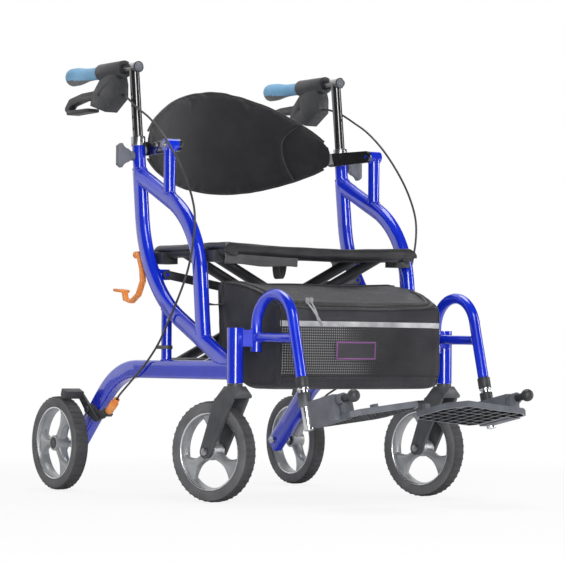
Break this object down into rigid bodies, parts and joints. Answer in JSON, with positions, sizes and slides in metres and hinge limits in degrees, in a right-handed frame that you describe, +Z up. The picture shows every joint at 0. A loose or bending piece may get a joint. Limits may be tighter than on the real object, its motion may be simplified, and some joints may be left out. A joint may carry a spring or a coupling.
{
  "type": "rollator transport chair",
  "caption": "Folding rollator that turns into a transport chair: blue tube frame, sling seat, back strap, bag, casters, swing-away footrests and push handles with brakes.",
  "frame": {"origin": "on the floor at the middle of the bounding box", "axes": "+Z up, +Y to the rear where the push handles point, +X to the left side of a seated person"},
  "size_m": [0.655, 1.067, 0.9245],
  "materials": {
    "frame_blue": "gloss",
    "black_tube": "gloss",
    "black_plastic": "satin",
    "grey_plastic": "satin",
    "bright_metal": "polished",
    "wheel_grey": "satin",
    "tyre_grey": "matte",
    "grip_soft": "matte",
    "cable_black": "satin",
    "orange_plastic": "satin",
    "seat_vinyl": "satin",
    "strap_web": "matte",
    "pad_knit": "matte",
    "bag_nylon": "matte"
  },
  "bodies": {
    "right_frame": {"right_side_frame": "frame_blue", "right_seat_saddles": "black_plastic", "right_post_collar": "black_plastic", "right_brake_cable": "cable_black", "right_brake_bracket": "black_tube", "right_cable_adjuster": "orange_plastic", "right_rear_axle": "bright_metal", "crutch_hook": "orange_plastic", "tote_bag": "bag_nylon"},
    "left_frame": {"left_side_frame": "frame_blue", "left_seat_saddles": "black_plastic", "left_post_collar": "black_plastic", "left_brake_cable": "cable_black", "left_brake_bracket": "black_tube", "left_cable_adjuster": "orange_plastic", "left_rear_axle": "bright_metal"},
    "brace_a": {"cross_brace_a": "black_tube", "cross_bolts": "bright_metal"},
    "brace_b": {"cross_brace_b": "black_tube"},
    "seat": {"seat_panel": "seat_vinyl", "fold_strap": "strap_web"},
    "back_strap": {"right_strap_arm": "black_tube", "back_pad": "pad_knit"},
    "left_strap": {"left_strap_arm": "black_tube"},
    "right_stay": {"right_fold_stay": "black_tube"},
    "right_handle": {"right_handle_post": "black_tube", "right_grip": "grip_soft", "right_brake_housing": "black_plastic"},
    "right_lever": {"right_brake_lever": "grey_plastic"},
    "right_knob": {"right_clamp_knob": "black_plastic"},
    "right_brake": {"right_brake_arm": "black_tube"},
    "right_rear_wheel": {"right_rear_rim": "wheel_grey", "right_rear_tyre": "tyre_grey"},
    "right_caster": {"right_caster_fork": "black_plastic", "right_front_axle": "bright_metal"},
    "right_front_wheel": {"right_front_rim": "wheel_grey", "right_front_tyre": "tyre_grey"},
    "right_hanger": {"right_footrest_tube": "frame_blue"},
    "right_leg": {"right_sliding_tube": "bright_metal", "right_hinge_housing": "grey_plastic"},
    "right_plate": {"right_footplate": "grey_plastic", "right_plate_ribs": "grey_plastic"},
    "right_release": {"right_plunger": "black_plastic"},
    "left_stay": {"left_fold_stay": "black_tube"},
    "left_handle": {"left_handle_post": "black_tube", "left_grip": "grip_soft", "left_brake_housing": "black_plastic"},
    "left_lever": {"left_brake_lever": "grey_plastic"},
    "left_knob": {"left_clamp_knob": "black_plastic"},
    "left_brake": {"left_brake_arm": "black_tube"},
    "left_rear_wheel": {"left_rear_rim": "wheel_grey", "left_rear_tyre": "tyre_grey"},
    "left_caster": {"left_caster_fork": "black_plastic", "left_front_axle": "bright_metal"},
    "left_front_wheel": {"left_front_rim": "wheel_grey", "left_front_tyre": "tyre_grey"},
    "left_hanger": {"left_footrest_tube": "frame_blue"},
    "left_leg": {"left_sliding_tube": "bright_metal", "left_hinge_housing": "grey_plastic"},
    "left_plate": {"left_footplate": "grey_plastic", "left_plate_ribs": "grey_plastic"},
    "left_release": {"left_plunger": "black_plastic"}
  },
  "joints": [
    {"name": "fold", "type": "hinge", "parent": "right_frame", "child": "brace_a", "pos_m": [-0.228, 0.03001, 0.278], "axis": [0, -1, 0], "range_deg": [0, 48], "deforming": ["seat_panel", "fold_strap", "back_pad", "tote_bag"]},
    {"name": "fold_cross", "type": "hinge", "parent": "brace_a", "child": "brace_b", "pos_m": [0, 0.03001, 0.393], "axis": [0, 1, 0], "range_deg": [0, 96]},
    {"name": "fold_left", "type": "hinge", "parent": "brace_b", "child": "left_frame", "pos_m": [0.228, 0.03001, 0.278], "axis": [0, -1, 0], "range_deg": [0, 48]},
    {"name": "seat_rise", "type": "slide", "parent": "right_frame", "child": "seat", "axis": [0, 0, 1], "range_m": [0, 0.2633]},
    {"name": "right_stay_turn", "type": "hinge", "parent": "right_frame", "child": "right_stay", "pos_m": [-0.245, 0.10301, 0.462], "axis": [0, -1, 0], "range_deg": [0, 78.23]},
    {"name": "left_stay_turn", "type": "hinge", "parent": "left_frame", "child": "left_stay", "pos_m": [0.245, 0.10301, 0.462], "axis": [0, 1, 0], "range_deg": [0, 78.23]},
    {"name": "right_footrest_swing", "type": "hinge", "parent": "right_frame", "child": "right_hanger", "pos_m": [-0.263, -0.18699, 0.33], "axis": [0, 0, -1], "range_deg": [0, 90]},
    {"name": "right_leg_length", "type": "slide", "parent": "right_hanger", "child": "right_leg", "axis": [0, -0.2588, -0.9659], "range_m": [0, 0.06]},
    {"name": "right_plate_flip", "type": "hinge", "parent": "right_leg", "child": "right_plate", "pos_m": [-0.213, -0.38162, 0.19299], "axis": [0, -0.9816, 0.1908], "range_deg": [0, 86.4]},
    {"name": "right_release_pull", "type": "slide", "parent": "right_leg", "child": "right_release", "axis": [0, -0.9816, 0.1908], "range_m": [0, 0.01], "stiffness_N_per_m": 600},
    {"name": "right_handle_height", "type": "slide", "parent": "right_frame", "child": "right_handle", "axis": [0, 0.1219, 0.9925], "range_m": [-0.06, 0.04], "deforming": ["right_brake_cable"]},
    {"name": "right_knob_turn", "type": "hinge", "parent": "right_frame", "child": "right_knob", "pos_m": [-0.29, 0.19045, 0.71416], "axis": [1, 0, 0], "continuous": true},
    {"name": "right_brake_squeeze", "type": "hinge", "parent": "right_handle", "child": "right_lever", "pos_m": [-0.263, 0.33488, 0.855], "axis": [1, 0, 0], "range_deg": [0, 9], "stiffness_Nm_per_rad": 4, "springref_deg": -2.86},
    {"name": "right_brake_bite", "type": "hinge", "parent": "right_frame", "child": "right_brake", "pos_m": [-0.284, 0.35478, 0.17555], "axis": [-1, 0, 0], "range_deg": [0, 2.5]},
    {"name": "right_rear_wheel_spin", "type": "hinge", "parent": "right_frame", "child": "right_rear_wheel", "pos_m": [-0.3115, 0.43201, 0.1015], "axis": [1, 0, 0], "continuous": true},
    {"name": "right_caster_swivel", "type": "hinge", "parent": "right_frame", "child": "right_caster", "pos_m": [-0.263, -0.18699, 0.236], "axis": [0, 0, 1], "continuous": true},
    {"name": "right_front_wheel_spin", "type": "hinge", "parent": "right_caster", "child": "right_front_wheel", "pos_m": [-0.27816, -0.13412, 0.1015], "axis": [0.9613, 0.2756, 0], "continuous": true},
    {"name": "left_footrest_swing", "type": "hinge", "parent": "left_frame", "child": "left_hanger", "pos_m": [0.263, -0.18699, 0.33], "axis": [0, 0, 1], "range_deg": [0, 90]},
    {"name": "left_leg_length", "type": "slide", "parent": "left_hanger", "child": "left_leg", "axis": [0, -0.2588, -0.9659], "range_m": [0, 0.06]},
    {"name": "left_plate_flip", "type": "hinge", "parent": "left_leg", "child": "left_plate", "pos_m": [0.213, -0.38162, 0.19299], "axis": [0, 0.9816, -0.1908], "range_deg": [0, 86.4]},
    {"name": "left_release_pull", "type": "slide", "parent": "left_leg", "child": "left_release", "axis": [0, -0.9816, 0.1908], "range_m": [0, 0.01], "stiffness_N_per_m": 600},
    {"name": "left_handle_height", "type": "slide", "parent": "left_frame", "child": "left_handle", "axis": [0, 0.1219, 0.9925], "range_m": [-0.06, 0.04], "deforming": ["left_brake_cable"]},
    {"name": "left_knob_turn", "type": "hinge", "parent": "left_frame", "child": "left_knob", "pos_m": [0.29, 0.19045, 0.71416], "axis": [1, 0, 0], "continuous": true},
    {"name": "left_brake_squeeze", "type": "hinge", "parent": "left_handle", "child": "left_lever", "pos_m": [0.263, 0.33488, 0.855], "axis": [1, 0, 0], "range_deg": [0, 9], "stiffness_Nm_per_rad": 4, "springref_deg": -2.86},
    {"name": "left_brake_bite", "type": "hinge", "parent": "left_frame", "child": "left_brake", "pos_m": [0.284, 0.35478, 0.17555], "axis": [-1, 0, 0], "range_deg": [0, 2.5]},
    {"name": "left_rear_wheel_spin", "type": "hinge", "parent": "left_frame", "child": "left_rear_wheel", "pos_m": [0.3115, 0.43201, 0.1015], "axis": [1, 0, 0], "continuous": true},
    {"name": "left_caster_swivel", "type": "hinge", "parent": "left_frame", "child": "left_caster", "pos_m": [0.263, -0.18699, 0.236], "axis": [0, 0, 1], "continuous": true},
    {"name": "left_front_wheel_spin", "type": "hinge", "parent": "left_caster", "child": "left_front_wheel", "pos_m": [0.25156, -0.13319, 0.1015], "axis": [0.9781, 0.2079, 0], "continuous": true},
    {"name": "back_flip", "type": "hinge", "parent": "right_frame", "child": "back_strap", "pos_m": [-0.243, 0.06701, 0.731], "axis": [1, 0, 0], "range_deg": [0, 180]},
    {"name": "back_flip_left", "type": "hinge", "parent": "left_frame", "child": "left_strap", "pos_m": [0.243, 0.06701, 0.731], "axis": [1, 0, 0], "range_deg": [0, 180]}
  ],
  "couplings": [
    {"joint": "fold_cross", "follows": "fold", "ratio": 2},
    {"joint": "fold_left", "follows": "fold", "ratio": 1},
    {"joint": "seat_rise", "follows": "fold", "m_per_rad": 0.31366},
    {"joint": "right_stay_turn", "follows": "fold", "ratio": 1.6277},
    {"joint": "left_stay_turn", "follows": "fold", "ratio": 1.6277},
    {"joint": "right_plate_flip", "follows": "fold", "ratio": 1.8},
    {"joint": "right_brake_bite", "follows": "right_brake_squeeze", "ratio": 0.25},
    {"joint": "left_plate_flip", "follows": "fold", "ratio": 1.8},
    {"joint": "left_brake_bite", "follows": "left_brake_squeeze", "ratio": 0.25},
    {"joint": "back_flip_left", "follows": "back_flip", "ratio": 1}
  ]
}
